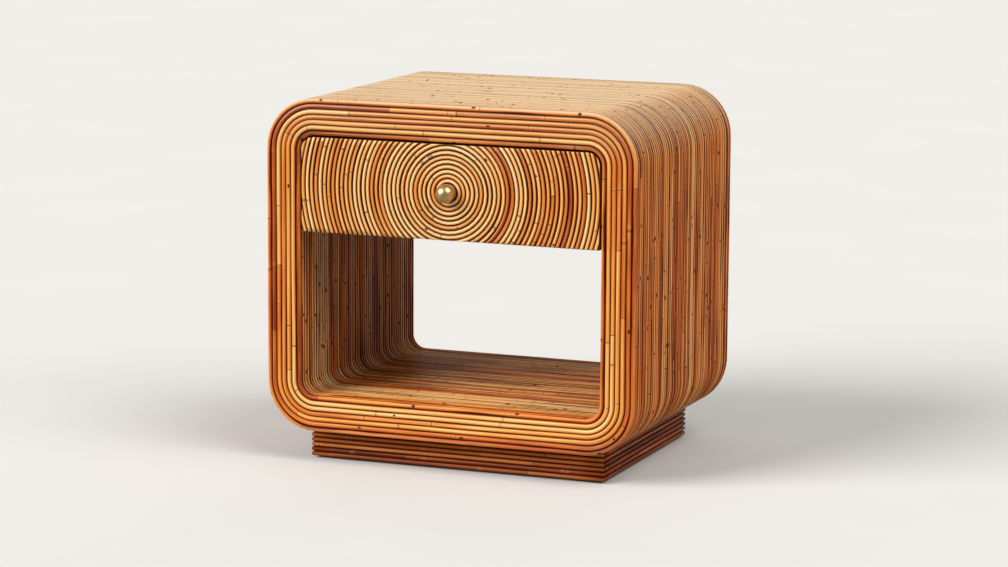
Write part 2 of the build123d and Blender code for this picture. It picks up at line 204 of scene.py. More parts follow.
def cane_finish(name, length, brads, tones, stain_and_shade, parting=0.0, gloss=0.22):
    """length is that of one piece of cane, brads the share of places that have a brad, stain_and_shade the turns from
    the crown at which the groove of stain and painted shade starts and is full, and parting how far that groove widens
    where canes part, which paints the shade in the gap."""
    finish = Finish(name, coat_weight=0.3 * gloss, coat_roughness=0.26, specular_ior_level=gloss)
    along, turn, _ = finish.parts(finish.node("UVMap", uv_map="cane").outputs[0])
    number = finish.math("FLOOR", turn)
    side = finish.math("SUBTRACT", finish.math("FRACT", turn), 0.5)
    off_crown = finish.math("ABSOLUTE", side)
    own, _ = finish.chance(number, 0.5)

    # Lengths of cane: each has its own tone, and a dark joint at either end
    place = finish.math("ADD", finish.math("DIVIDE", along, length), finish.math("MULTIPLY", own, 17.0))
    own_length, _ = finish.chance(number, finish.math("FLOOR", place))
    to_joint = finish.math("MULTIPLY", finish.math("PINGPONG", place, 0.5), length)
    to_joint = finish.math("MINIMUM", to_joint, along)
    joint = finish.math("MULTIPLY", finish.step(to_joint, 0.0011, 0.0005), finish.step(own_length, 0.1, 0.7))

    # Leaf rings
    uneven = finish.drawn_out(along, number, (2.6, 5.3), detail=0.0)
    place = finish.math("ADD", finish.math("DIVIDE", along, LEAF_SPACING), finish.math("MULTIPLY", own_length, 9.0))
    place = finish.math("MULTIPLY_ADD", uneven, 1.6, place)
    to_ring = finish.math("MULTIPLY", finish.math("PINGPONG", place, 0.5), LEAF_SPACING)
    ring_line = finish.step(to_ring, 0.0014, 0.0006)
    ring_band = finish.step(to_ring, 0.0070, 0.0020)

    # Brad holes near the crown
    place = finish.math("ADD", finish.math("DIVIDE", along, BRAD_SPACING), finish.math("MULTIPLY", own, 31.0))
    has_brad, spot = finish.chance(finish.math("ADD", number, 0.25), finish.math("FLOOR", place))
    spot_along, spot_side, _ = finish.parts(spot)
    run = finish.math("MULTIPLY", finish.math("SUBTRACT", finish.math("FRACT", place), spot_along), BRAD_SPACING)
    rise = finish.math("MULTIPLY", side, ROUND_CANE)
    rise = finish.math("SUBTRACT", rise, finish.math("MULTIPLY_ADD", spot_side, 0.003, -0.0015))
    run = finish.math("MULTIPLY", run, 0.55)
    square = finish.math("ADD", finish.math("POWER", run, 2.0), finish.math("POWER", rise, 2.0))
    hole = finish.step(finish.math("SQRT", square), 0.0024, 0.0012)
    hole = finish.math("MULTIPLY", hole, finish.math("LESS_THAN", has_brad, brads))

    # Tone: the cane's own, then the length's, then slow patches, streaks and fine fibres
    patches = finish.drawn_out(along, turn, (7.0, 2.3))
    streaks = finish.drawn_out(along, turn, (4.5, 8.0), detail=2.0)
    fibres = finish.drawn_out(along, turn, (16.0, 26.0), detail=4.0)
    tone = finish.node("Attribute", attribute_name="tone").outputs["Fac"]
    for part, weight in ((own_length, 0.40), (patches, 0.50), (streaks, 0.60), (fibres, 0.45)):
        tone = finish.math("ADD", tone, finish.math("MULTIPLY_ADD", part, weight, -weight / 2))
    colour = finish.ramp(tone, *tones)
    colour = finish.mix(finish.math("MULTIPLY", ring_band, 0.25), colour, LEAF_SCAR)
    # Painted sheen: where a face looks up on the top of the table, the colour is mixed towards pale straw for the
    # light that the lacquer reflects there
    painted_sheen = finish.node("Attribute", attribute_name="painted_sheen").outputs["Fac"]
    colour = finish.mix(finish.math("MULTIPLY", painted_sheen, 0.68), colour, PAINTED_SHEEN_COLOUR)

    # Stain and painted shade: russet on the flanks, nearly black in the groove, as wide on the one cane as on the
    # other
    start, full = stain_and_shade
    flank = finish.step(off_crown, 0.4 * start, 0.75 * full)
    colour = finish.mix(flank, colour, FLANK_STAIN_AND_SHADE, "MULTIPLY")
    between = finish.math("FLOOR", finish.math("ADD", turn, 0.5))
    # Where neighbours part, the dark line widens: painted shade in the gap, less of it under the painted sheen
    parted = finish.step(finish.drawn_out(along, between, (6.0, 7.7), detail=2.0), 0.44, 0.64)
    parted = finish.math("MULTIPLY", parted, finish.math("MULTIPLY_ADD", painted_sheen, -0.7, 1.0))
    off_middle = finish.math("MULTIPLY_ADD", parted, parting, off_crown)
    groove = finish.step(off_middle, start + 0.02, full + 0.02)
    colour = finish.mix(groove, colour, GROOVE_STAIN_AND_SHADE, "MULTIPLY")
    opening = finish.math("MAXIMUM", joint, hole)
    dark = finish.math("MAXIMUM", opening, finish.math("MULTIPLY", ring_line, 0.55))
    colour = finish.mix(dark, colour, HOLE)

    roughness = finish.math("MULTIPLY_ADD", fibres, 0.22, 0.25)
    height = finish.math("MULTIPLY_ADD", fibres, 0.25, finish.math("MULTIPLY", ring_band, 0.6))
    height = finish.math("MULTIPLY_ADD", opening, -0.4, height)
    return finish.surface(colour, roughness, height, 0.0004, 0.6)


LACQUER = (
    (0.00, (0.150, 0.014, 0.002)),
    (0.22, (0.400, 0.066, 0.008)),
    (0.42, (0.710, 0.200, 0.026)),
    (0.62, (0.870, 0.395, 0.082)),
    (0.82, (0.940, 0.580, 0.200)),
    (1.00, (0.950, 0.690, 0.340)),
)
RUSSET = (
    (0.00, (0.150, 0.016, 0.002)),
    (0.22, (0.430, 0.075, 0.011)),
    (0.42, (0.710, 0.202, 0.035)),
    (0.62, (0.880, 0.346, 0.075)),
    (0.82, (0.940, 0.468, 0.140)),
    (1.00, (0.950, 0.580, 0.220)),
)
ring_cane_finish = cane_finish(
    "lacquered_ring_cane", length=0.71, brads=0.05, tones=LACQUER, stain_and_shade=(0.114, 0.226), parting=0.045)
drawer_cane_finish = cane_finish(
    "lacquered_drawer_cane", length=0.71, brads=0.05, tones=LACQUER, stain_and_shade=(0.080, 0.172), parting=0.055)
wrap_cane_finish = cane_finish(
    "lacquered_wrap_cane", length=0.83, brads=0.22, tones=RUSSET, stain_and_shade=(0.082, 0.173), parting=0.068)
inner_cane_finish = cane_finish(
    "lacquered_inner_cane", length=0.83, brads=0.22, tones=LACQUER, stain_and_shade=(0.068, 0.153), parting=0.068)
print("finishes:", ring_cane_finish.name, wrap_cane_finish.name)

# %% [markdown]
# ## Writing where a face lies on its cane
#
# The cane finish needs three facts for each face: how far along the cane it is, how far round, and which cane it
# belongs to. They could be painted, but a cane's path is simple enough to work out from each corner's position.
# A closed hoop has a seam where the length jumps back to zero, so corners just past the seam count on from the
# full length instead. Each face also keeps two numbers: the tone of its cane, and how much painted sheen it gets,
# which is most where it looks up on the top of the table and stands in for the light that the lacquer reflects
# there. A second map lays the same strips side by side in one square, for baking.

# %% Cane map
# Painted sheen: a face that looks up also gets a paler tone
PAINTED_SHEEN_TONE = 0.14  # paler tone of a face that looks straight up


def new_canes():
    """An empty mesh that has the layers of the cane map. A layer added later would lose hold of the faces."""
    bm = bmesh.new()
    bm.loops.layers.uv.new("cane")
    bm.loops.layers.uv.new("OFBake")
    bm.faces.layers.float.new("tone")
    bm.faces.layers.float.new("painted_sheen")
    return bm


def write_cane(bm, faces, number, tone, locate, whole=None):
    """locate gives the metres along a cane and the angle round it, 0 at the crown, for a corner's position."""
    chart = bm.loops.layers.uv["cane"]
    shade = bm.faces.layers.float["tone"]
    painted_sheen = bm.faces.layers.float["painted_sheen"]
    for face in faces:
        # Painted sheen: how far a face looks up on the top of the table, for the light that its lacquer reflects there
        up = max(face.normal.z, 0.0) * (face.calc_center_median().z > LOOP_CENTRE)
        face[painted_sheen] = up ** 0.9
        face[shade] = tone + PAINTED_SHEEN_TONE * up
        spots = [locate(loop.vert.co) for loop in face.loops]
        far = max(along for along, angle in spots)
        wide = max(angle for along, angle in spots)
        for loop, (along, angle) in zip(face.loops, spots):
            if whole and far - along > whole / 2:
                along += whole
            if wide - angle > pi:
                angle += 2 * pi
            turn = 0.5 + angle / (2 * pi)
            loop[chart].uv = (along, number + min(max(turn, 0.002), 0.998))


def write_bake_map(bm):
    """Lays the strips of all the canes in one square, one above the other."""
    chart = bm.loops.layers.uv["cane"]
    bake = bm.loops.layers.uv["OFBake"]
    loops = [loop for face in bm.faces for loop in face.loops]
    reach = max(loop[chart].uv.x for loop in loops)
    rows = ceil(max(loop[chart].uv.y for loop in loops))
    for loop in loops:
        loop[bake].uv = (0.005 + 0.99 * loop[chart].uv.x / reach, loop[chart].uv.y / rows)


def make_piece(name, bm, body, slot, *materials):
    """Turns a bmesh into an object that rides on a body."""
    mesh = bpy.data.meshes.new(name)
    bm.to_mesh(mesh)
    bm.free()
    piece = bpy.data.objects.new(name, mesh)
    bpy.context.scene.collection.objects.link(piece)
    for material in materials:
        mesh.materials.append(material)
    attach(piece, body)
    print(name, len(mesh.polygons), "faces")
    return piece


print("cane map ready")

# %% [markdown]
# ## A cane bent round the loop
#
# A hoop is one cane that follows the rounded outline. It could be a curve with a bevel, but a mesh gives each face
# its place along the cane. So a circle of edges, the section of the cane, is spun a quarter turn round each corner
# and extruded along each straight. A whole cane has a round section. A split cane, used where the back lies flat
# on a board, keeps only the half in front of its axis.

# %% Section and hoop
STEPS_ROUND, STEPS_ACROSS, STEPS_UP = 10, 7, 6  # round a corner, along the top and up a side


def cane_section(bm, centre, crown, along, radius, sides, split=False):
    """Edges of a cane's section. A split cane keeps the half on its crown's side and gets a flat back."""
    verts = bmesh.ops.create_circle(bm, segments=sides, radius=radius)["verts"]
    edges = list({edge for vert in verts for edge in vert.link_edges})
    if split:
        cut = bmesh.ops.bisect_plane(
            bm, geom=verts + edges, plane_co=(0, 0, 0), plane_no=(-1, 0, 0), dist=1e-6, clear_outer=True)
        verts = [vert for vert in verts if vert.is_valid]
        ends = [item for item in cut["geom_cut"] if isinstance(item, bmesh.types.BMVert)]
        flat = bmesh.ops.contextual_create(bm, geom=ends)["edges"]
        edges = [edge for edge in edges if edge.is_valid] + flat
    crown, along = Vector(crown), Vector(along)
    turned = Matrix((crown, along.cross(crown), along)).transposed().to_4x4()
    bmesh.ops.transform(bm, matrix=Matrix.Translation(centre) @ turned, verts=verts)
    return edges


def run_on(bm, edges, step, times):
    """Extrudes a section along a straight in equal steps and returns the last section."""
    for _ in range(times):
        grown = bmesh.ops.extrude_edge_only(bm, edges=edges)["geom"]
        verts = [item for item in grown if isinstance(item, bmesh.types.BMVert)]
        bmesh.ops.translate(bm, vec=step, verts=verts)
        fresh = set(verts)
        edges = [item for item in grown if isinstance(item, bmesh.types.BMEdge) and set(item.verts) <= fresh]
    return edges


def bend_hoop(inset, y, crown, radius, sides, split=False):
    """One closed hoop at an inset from the loop's outline, as a mesh of its own."""
    bm = bmesh.new()
    bend = CORNER - inset
    start = (STRAIGHT_X + bend, y, LOOP_CENTRE + STRAIGHT_Z)
    edges = cane_section(bm, start, crown, (0, 0, 1), radius, sides, split)
    corners = ((1, 1, (-1, 0)), (-1, 1, (0, -1)), (-1, -1, (1, 0)), (1, -1, (0, 1)))
    for across, up, (dx, dz) in corners:
        centre = (across * STRAIGHT_X, y, LOOP_CENTRE + up * STRAIGHT_Z)
        geometry = edges + list({vert for edge in edges for vert in edge.verts})
        spun = bmesh.ops.spin(bm, geom=geometry, cent=centre, axis=(0, -1, 0), angle=pi / 2, steps=STEPS_ROUND)
        edges = [item for item in spun["geom_last"] if isinstance(item, bmesh.types.BMEdge)]
        step = Vector((dx * 2 * STRAIGHT_X / STEPS_ACROSS, 0, dz * 2 * STRAIGHT_Z / STEPS_UP))
        edges = run_on(bm, edges, step, STEPS_ACROSS if dx else STEPS_UP)
    bmesh.ops.remove_doubles(bm, verts=bm.verts, dist=1e-5)
    bmesh.ops.recalc_face_normals(bm, faces=bm.faces)
    for face in bm.faces:
        face.smooth = True
    hoop = bpy.data.meshes.new("hoop")
    bm.to_mesh(hoop)
    bm.free()
    return hoop


def add_copy(bm, mesh):
    """Adds a mesh to a larger one and returns its faces and corners there."""
    faces, verts = len(bm.faces), len(bm.verts)
    bm.from_mesh(mesh)
    bm.faces.ensure_lookup_table()
    bm.verts.ensure_lookup_table()
    return bm.faces[faces:], bm.verts[verts:]


print("hoop tools ready")

# %% [markdown]
# Where a point lies on a hoop follows from the rectangle that joins the four corner centres: the nearest point of
# that rectangle gives the length run so far, and the offset from it gives the angle round the cane.

# %% Place on a hoop
def loop_offset(position):
    """Nearest point of the rectangle of corner centres, and the offset from it."""
    x, z = position.x, position.z - LOOP_CENTRE
    near_x = max(-STRAIGHT_X, min(STRAIGHT_X, x))
    near_z = max(-STRAIGHT_Z, min(STRAIGHT_Z, z))
    return near_x, near_z, x - near_x, z - near_z


def loop_locator(inset, y, outward=1, facing=None, lean=0.0, seam=None):
    """Locator for a hoop whose crown looks outwards, inwards or, with facing, to the front or back.
    The first and last hoops show two sides, so their crowns lean half way round and are wider.
    The seam of an outer hoop is under the table and that of an inner one above the drawer."""
    bend = CORNER - inset
    width, height = 2 * STRAIGHT_X, 2 * STRAIGHT_Z
    whole = 2 * width + 2 * height + 2 * pi * bend
    if seam is None:
        seam = 1.5 * width + height + 1.5 * pi * bend if outward > 0 else 0.5 * width + 0.5 * pi * bend

    def locate(position):
        near_x, near_z, dx, dz = loop_offset(position)
        turn = atan2(dz, dx) % (2 * pi)
        if abs(dx) < 1e-6:
            run = width / 2 - near_x if dz > 0 else 1.5 * width + height + near_x
            turn = pi / 2 if dz > 0 else 1.5 * pi
        elif abs(dz) < 1e-6:
            run = width + height / 2 - near_z if dx < 0 else 2 * width + 1.5 * height + near_z
            turn = pi if dx < 0 else 2 * pi
        else:
            run = (0, width, width + height, 2 * width + height)[int(turn / (pi / 2))]
        lift = hypot(dx, dz) - bend
        sideways = position.y - y
        angle = atan2(lift, sideways * facing) if facing else atan2(sideways, lift * outward)
        angle = (angle - lean + pi) % (2 * pi) - pi
        return (run + bend * turn - seam) % whole, angle * (0.55 if lean else 1.0)

    return locate, whole


def hand_lay(verts, inset, y, seed, thin, wander, outward, sink, low, width=1.0):
    """Small faults of hand work: the cane wanders along the depth, sinks a little and is thinner in places.
    Neighbours wander together, because each cane is pressed against the one before."""
    bend = CORNER - inset
    for vert in verts:
        _, _, dx, dz = loop_offset(vert.co)
        reach = hypot(dx, dz)
        out = Vector((dx, 0, dz)) / reach
        spot = vert.co - out * (reach - bend)
        here = Vector((spot.x * 9, seed * 3.7, spot.z * 9))
        size = 1 - thin * (0.5 + 0.5 * noise.noise(here))
        drift = wander * noise.noise(Vector((spot.x * 7, seed * 0.4 + 50, spot.z * 7)))
        down = low + sink * (0.5 + 0.5 * noise.noise(Vector((spot.x * 6, seed * 0.45 + 90, spot.z * 6))))
        across = (vert.co.y - y) * size * width
        vert.co = spot + out * ((reach - bend) * size - outward * down)
        vert.co.y = y + across + drift


print("locators ready")

# %% [markdown]
# ## Canes wrapped round the loop
#
# Fifty-four canes lie side by side round the outside of the loop and as many round its inside. Each is bent once,
# then copied along the depth, and every copy gets its own width, tone and small faults, so that no two look alike.
# The crowns of the outer canes must not pass the CAD model's box, so a copy may sink but never stands proud.

# %% Outer and inner wraps
HOOPS = 54
HOOP_PITCH = (BACK - FRONT) / HOOPS
HOOP_RADIUS = CANE / 2 - 0.00025  # a hair less than half, so that neighbours part


def wrap_loop(name, node, inset, outward, middle_tone, first_tone, seed, finish):
    """A row of hoops from front to back. The first is part of the front's pattern and has a tone of its own."""
    chance = random.Random(seed)
    # The first and last canes keep the full pitch, and those between share the rest unequally
    widths = [1.0] + [chance.uniform(0.82, 1.18) for _ in range(HOOPS - 2)] + [1.0]
    spare = (sum(widths[1:-1]) - HOOPS + 2) / (HOOPS - 2)
    bm = new_canes()
    hoop = bend_hoop(inset, 0.0, (outward, 0, 0), HOOP_RADIUS, 12)
    edge = FRONT
    for number, width in enumerate(widths):
        if 0 < number < HOOPS - 1:
            width -= spare
        y = edge + width * HOOP_PITCH / 2
        edge += width * HOOP_PITCH
        faces, verts = add_copy(bm, hoop)
        bmesh.ops.translate(bm, vec=(0, y, 0), verts=verts)
        lean = {0: -pi / 4, HOOPS - 1: pi / 4}.get(number, 0.0)
        locate, whole = loop_locator(inset, y, outward, lean=lean)
        tone = middle_tone + chance.uniform(-0.26, 0.26) + 0.10 * noise.noise(Vector((number * 0.43, seed, 0.7)))
        tone = tone if number else first_tone
        write_cane(bm, faces, number, tone, locate, whole)
        low = chance.uniform(0.0, 0.0006) if number else 0.0
        wander = 0.0014 * min(1.0, number / 5, (HOOPS - 1 - number) / 5)  # less towards the edges
        hand_lay(verts, inset, y, number + seed, 0.10, wander, outward, sink=0.0004, low=low, width=width)
    write_bake_map(bm)
    piece = make_piece(name, bm, "frame", "cane", finish)
    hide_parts(node)


wrap_loop(
    "outer_cane_hoops", "outer_cane_wrap", inset=CANE / 2, outward=1,
    middle_tone=0.52, first_tone=0.52, seed=11, finish=wrap_cane_finish)
wrap_loop(
    "inner_cane_hoops", "inner_cane_wrap", inset=(RING - 0.5) * CANE, outward=-1,
    middle_tone=0.62, first_tone=0.46, seed=23, finish=inner_cane_finish)

# %% [markdown]
# ## Canes on the front and back faces
#
# Between the first outer hoop and the first inner hoop, five split canes follow the outline on the front face, and
# five more on the back. Their tones alternate, which draws the bands of light and dark round the mouth of the table.

# %% Face rings
def face_ring(name, node, y, facing, tones, seed):
    """Split canes side by side on one face; facing is -1 for the front and 1 for the back."""
    bm = new_canes()
    for number, tone in enumerate(tones):
        inset = (number + 1.5) * CANE
        faces, verts = add_copy(bm, bend_hoop(inset, y, (0, facing, 0), CANE / 2 - HAIR, 16, split=True))
        locate, whole = loop_locator(inset, y, facing=facing, seam=0.37 + 0.43 * number)
        write_cane(bm, faces, number, tone, locate, whole)
        hand_lay(verts, inset, y, number + seed, thin=0.08, wander=0.0001, outward=1, sink=0.0016, low=-0.0008)
    write_bake_map(bm)
    piece = make_piece(name, bm, "frame", "cane", ring_cane_finish)
    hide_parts(node)


FRONT_TONES = (0.36, 0.63, 0.48, 0.66, 0.63)
BACK_TONES = (0.52, 0.30, 0.66, 0.40, 0.60)
face_ring("front_face_canes", "front_ring_canes", FRONT + CANE / 2, facing=-1, tones=FRONT_TONES, seed=3)
face_ring("back_face_canes", "back_ring_canes", BACK - CANE / 2, facing=1, tones=BACK_TONES, seed=8)

# %% [markdown]
# ## Rings of cane on the drawer front
#
# The maker of the real drawer bends split canes into rings round the knob, larger and larger, and saws off what
# passes the edge of the board. The same order works here: a section is spun a full turn for each ring, all the
# rings are cut by the planes of the outline, and the sawn ends are closed. The two upper corners of the outline are
# rounded, and a few more planes that touch the curve cut them.

# %% Trim to the mouth's outline
def mouth_planes(gap, bottom):
    """Planes that bound a plate in the mouth of the loop, each with its normal outwards."""
    side = HALF_WIDTH - RING * CANE - gap
    top = LOOP_CENTRE + HALF_HEIGHT - RING * CANE - gap
    bend = CORNER - RING * CANE - gap
    planes = [((0, 0, bottom), (0, 0, -1))]
    for across in (-1, 1):
        centre = Vector((across * (side - bend), 0, top - bend))
        for step in range(9):
            angle = radians(90 * step / 8)
            normal = Vector((across * cos(angle), 0, sin(angle)))
            planes.append((centre + normal * bend, normal))
    return planes


def saw(bm, planes):
    """Cuts away what lies outside the planes and closes the sawn ends."""
    for place, normal in planes:
        geometry = bm.verts[:] + bm.edges[:] + bm.faces[:]
        bmesh.ops.bisect_plane(bm, geom=geometry, plane_co=place, plane_no=normal, dist=1e-6, clear_outer=True)
    bmesh.ops.remove_doubles(bm, verts=bm.verts[:], dist=2e-6)
    open_edges = [edge for edge in bm.edges if edge.is_boundary]
    for face in bm.faces:
        face.smooth = True
    for face in bmesh.ops.edgeloop_fill(bm, edges=open_edges)["faces"]:
        face.smooth = False
    bmesh.ops.recalc_face_normals(bm, faces=bm.faces)


print("planes of the drawer front:", len(mouth_planes(DRAWER_GAP, DRAWER_LOW.z)))

# %% Drawer rings
DRAWER_CANE = 0.00725  # pitch of the rings
CLOSED_RADIUS = 0.068  # larger rings are cut into a left and a right arc
RING_STEP = 0.012  # length of one step round a ring
BOARD_FACE = DRAWER_LOW.y + DRAWER_CANE / 2
DRAWER_RINGS = ceil(hypot(DRAWER_HIGH.x, (DRAWER_HIGH.z - DRAWER_LOW.z) / 2) / DRAWER_CANE)
AXIS_POINT = Vector((0, BOARD_FACE, KNOB_Z))


def ring_locator(radius, side, seam):
    """Locator for a ring; arcs on the left are measured from the left, so that no seam falls on them."""
    def locate(position):
        x, z = position.x * side, position.z - KNOB_Z
        along = radius * ((atan2(z, x) + pi - seam) % (2 * pi))
        return along, atan2(hypot(x, z) - radius, BOARD_FACE - position.y)
    return locate


def bend_ring(radius):
    """One ring of split cane, a little uneven, sawn to the outline of the drawer front, as a mesh of its own."""
    bm = bmesh.new()
    start = AXIS_POINT + Vector((radius, 0, 0))
    edges = cane_section(bm, start, (0, -1, 0), (0, 0, 1), DRAWER_CANE / 2 - 2 * HAIR, 16, split=True)
    geometry = edges + list({vert for edge in edges for vert in edge.verts})
    steps = max(32, int(radius * 2 * pi / RING_STEP))
    bmesh.ops.spin(bm, geom=geometry, cent=AXIS_POINT, axis=(0, -1, 0), angle=2 * pi, steps=steps, use_merge=True)
    for vert in bm.verts:
        out = Vector((vert.co.x, 0, vert.co.z - KNOB_Z))
        reach = out.length
        out.normalize()
        here = out * radius * 14 + Vector((0, radius * 900, 0))
        size = 1 - 0.10 * (0.5 + 0.5 * noise.noise(here))
        drift = 0.0005 * noise.noise(here * 0.5 + Vector((0, 40, 0)))
        vert.co += out * ((reach - radius) * (size - 1) + drift)
        vert.co.y = BOARD_FACE + (vert.co.y - BOARD_FACE) * size
    saw(bm, mouth_planes(DRAWER_GAP, DRAWER_LOW.z))
    ring = bpy.data.meshes.new("ring")
    bm.to_mesh(ring)
    bm.free()
    return ring


chance = random.Random(5)
bm = new_canes()
for ring in range(1, DRAWER_RINGS):
    radius = (ring + 0.5) * DRAWER_CANE
    faces, _ = add_copy(bm, bend_ring(radius))
    closed = radius < CLOSED_RADIUS
    halves = {1: faces} if closed else {1: [], -1: []}
    if not closed:
        for face in faces:
            halves[1 if face.calc_center_median().x > 0 else -1].append(face)
    for side, group in halves.items():
        tone = 0.63 + chance.uniform(-0.18, 0.14) + 0.22 * noise.noise(Vector((radius * 22, side * 3.3, 0.4)))
        tone += 0.15 if side < 0 else 0.0  # paler on the left
        number = ring if side > 0 else ring + DRAWER_RINGS
        locate = ring_locator(radius, side, 2.4 * ring if closed else 0.0)
        write_cane(bm, group, number, tone, locate, 2 * pi * radius if closed else None)
write_bake_map(bm)
drawer_canes = make_piece("drawer_ring_canes", bm, "drawer", "cane", drawer_cane_finish)

# %% [markdown]
# ## Timber
#
# The boards of the core and of the drawer box keep the CAD model's shapes, because plain sawn boards are what they
# are. They need the grain of timber: long streaks along the board, broken by slow waves, with fine pores. Each board
# has its grain along its longest side, so there is one finish for each direction.

# %% Timber finishes
def timber_finish(name, grain, light, dark):
    """grain is the axis that the fibres follow, as 0, 1 or 2."""
    finish = Finish(name, specular_ior_level=0.35)
    place = finish.node("TexCoord").outputs["Object"]

    def stretched(across, along):
        scales = [across, across, across]
        scales[grain] = along
        return finish.node("VectorMath", {0: place, 1: scales}, operation="MULTIPLY").outputs[0]

    streaks = finish.noise(stretched(90.0, 4.0), detail=5.0)
    waves = finish.noise(stretched(26.0, 1.6), distortion=0.8)
    pores = finish.step(streaks, 0.60, 0.68)
    share = finish.math("MULTIPLY_ADD", streaks, 0.55, finish.math("MULTIPLY", waves, 0.55))
    colour = finish.ramp(share, (0.30, dark), (0.72, light))
    colour = finish.mix(finish.math("MULTIPLY", pores, 0.35), colour, tuple(0.5 * value for value in dark))
    roughness = finish.math("MULTIPLY_ADD", streaks, 0.25, 0.45)
    height = finish.math("SUBTRACT", streaks, finish.math("MULTIPLY", pores, 0.5))
    return finish.surface(colour, roughness, height, 0.0003, 0.5)


BIRCH = ((0.66, 0.47, 0.28), (0.47, 0.29, 0.14))
# The core's dark stain also paints the shade in the gaps between the canes, where the boards show
PINE = ((0.24, 0.12, 0.05), (0.12, 0.05, 0.02))
drawer_timber = [timber_finish(f"drawer_birch_{axis}", number, *BIRCH) for number, axis in enumerate("xyz")]
core_timber = [timber_finish(f"core_pine_{axis}", number, *PINE) for number, axis in enumerate("xyz")]
print("timber finishes:", len(drawer_timber) + len(core_timber))

# %% [markdown]
# ## The board behind the drawer's rings
#
# In the CAD model the drawer front is one piece with its canes. Here the canes are pieces of their own, so the board
# behind them is made again: a box with the two upper corners rounded to follow the mouth of the table. It is stained
# dark like the core, a colour that also paints the shade in the gaps between the canes, so that nothing pale shows
# there.

# %% Drawer board
bm = bmesh.new()
bmesh.ops.create_cube(bm, size=1.0)
size = Vector((2 * DRAWER_HIGH.x, DRAWER_HIGH.y - BOARD_FACE, DRAWER_HIGH.z - DRAWER_LOW.z))
bmesh.ops.scale(bm, vec=size, verts=bm.verts)
bmesh.ops.translate(bm, vec=(0, (BOARD_FACE + DRAWER_HIGH.y) / 2, KNOB_Z), verts=bm.verts)
upper_corners = [
    edge for edge in bm.edges if all(vert.co.z > KNOB_Z for vert in edge.verts)
    and abs(edge.verts[0].co.x - edge.verts[1].co.x) < 1e-6]
corner_radius = CORNER - RING * CANE - DRAWER_GAP
bmesh.ops.bevel(bm, geom=upper_corners, offset=corner_radius, affect="EDGES", segments=8, profile=0.5, material=-1)
make_piece("drawer_front_board", bm, "drawer", "core_timber", core_timber[0])
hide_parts("drawer_front")

# %% [markdown]
# ## Straight canes on the back panel and the plinth
#
# Straight split canes are one section extruded along its run. Those on the back panel are cut to the mouth's outline
# with the same planes as the drawer front. Those on the plinth are mitred where two sides meet, so each run is made
# too long and two slanting planes cut its ends.

# %% Straight cane
def lay_straight(bm, start, along, length, crown, radius, number, tone, pieces=10):
    """A split cane from a start point; its faults are a slight change of thickness along the run."""
    already = len(bm.faces)
    along, crown, start = Vector(along), Vector(crown), Vector(start)
    edges = cane_section(bm, start, crown, along, radius, 16, split=True)
    run_on(bm, edges, along * length / pieces, pieces)
    bm.faces.ensure_lookup_table()
    faces = bm.faces[already:]
    across = along.cross(crown)

    def locate(position):
        offset = position - start
        return offset.dot(along), atan2(offset.dot(across), offset.dot(crown))

    write_cane(bm, faces, number, tone, locate)
    for vert in {vert for face in faces for vert in face.verts}:
        offset = vert.co - start
        reach = offset.dot(along)
        size = 1 - 0.06 * (0.5 + 0.5 * noise.noise(Vector((reach * 11, number * 4.7, tone * 9))))
        vert.co = start + along * reach + (offset - along * reach) * size


print("straight cane ready")

# %% Back panel canes
PANEL_LOW, PANEL_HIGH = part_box("back_panel_canes")
rows = round((PANEL_HIGH.z - PANEL_LOW.z) / CANE)
row_pitch = (PANEL_HIGH.z - PANEL_LOW.z) / rows
PANEL_SPARE = 0.002  # sawn off at either end
chance = random.Random(31)
bm = new_canes()
for row in range(rows):
    start = (PANEL_LOW.x - PANEL_SPARE, PANEL_LOW.y, PANEL_LOW.z + (row + 0.5) * row_pitch)
    length = PANEL_HIGH.x - PANEL_LOW.x + 2 * PANEL_SPARE
    tone = chance.uniform(0.30, 0.70)
    lay_straight(bm, start, (1, 0, 0), length, (0, 1, 0), PANEL_HIGH.y - PANEL_LOW.y - 2 * HAIR, row, tone)
saw(bm, mouth_planes(PANEL_GAP, PANEL_LOW.z))
write_bake_map(bm)
back_canes = make_piece("back_panel_split_canes", bm, "frame", "cane", ring_cane_finish)
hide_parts("back_panel_canes")

# %% Plinth canes
PLINTH = (
    (0.00, (0.100, 0.016, 0.004)),
    (0.30, (0.300, 0.065, 0.012)),
    (0.60, (0.560, 0.170, 0.032)),
    (1.00, (0.780, 0.330, 0.080)),
)
plinth_cane_finish = cane_finish(
    "lacquered_plinth_cane", length=0.46, brads=0.06, tones=PLINTH, stain_and_shade=(0.085, 0.180), gloss=0.14)
FRONT_LOW, FRONT_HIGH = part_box("plinth_front_canes")
LEFT_LOW, LEFT_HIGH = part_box("plinth_left_canes")
plinth_x = FRONT_HIGH.x
plinth_y = (LEFT_HIGH.y - LEFT_LOW.y) / 2
plinth_middle = (LEFT_HIGH.y + LEFT_LOW.y) / 2
PLINTH_ROWS = 6
PLINTH_SPARE = 0.01  # sawn off at either end
PLINTH_TONES = (0.30, 0.38, 0.46, 0.55, 0.62)
plinth_pitch = (FRONT_HIGH.z - FRONT_LOW.z) / PLINTH_ROWS
plinth_rise = FRONT_HIGH.y - FRONT_LOW.y
SIDES = {"front": (0, -1), "back": (0, 1), "left": (-1, 0), "right": (1, 0)}
chance = random.Random(47)
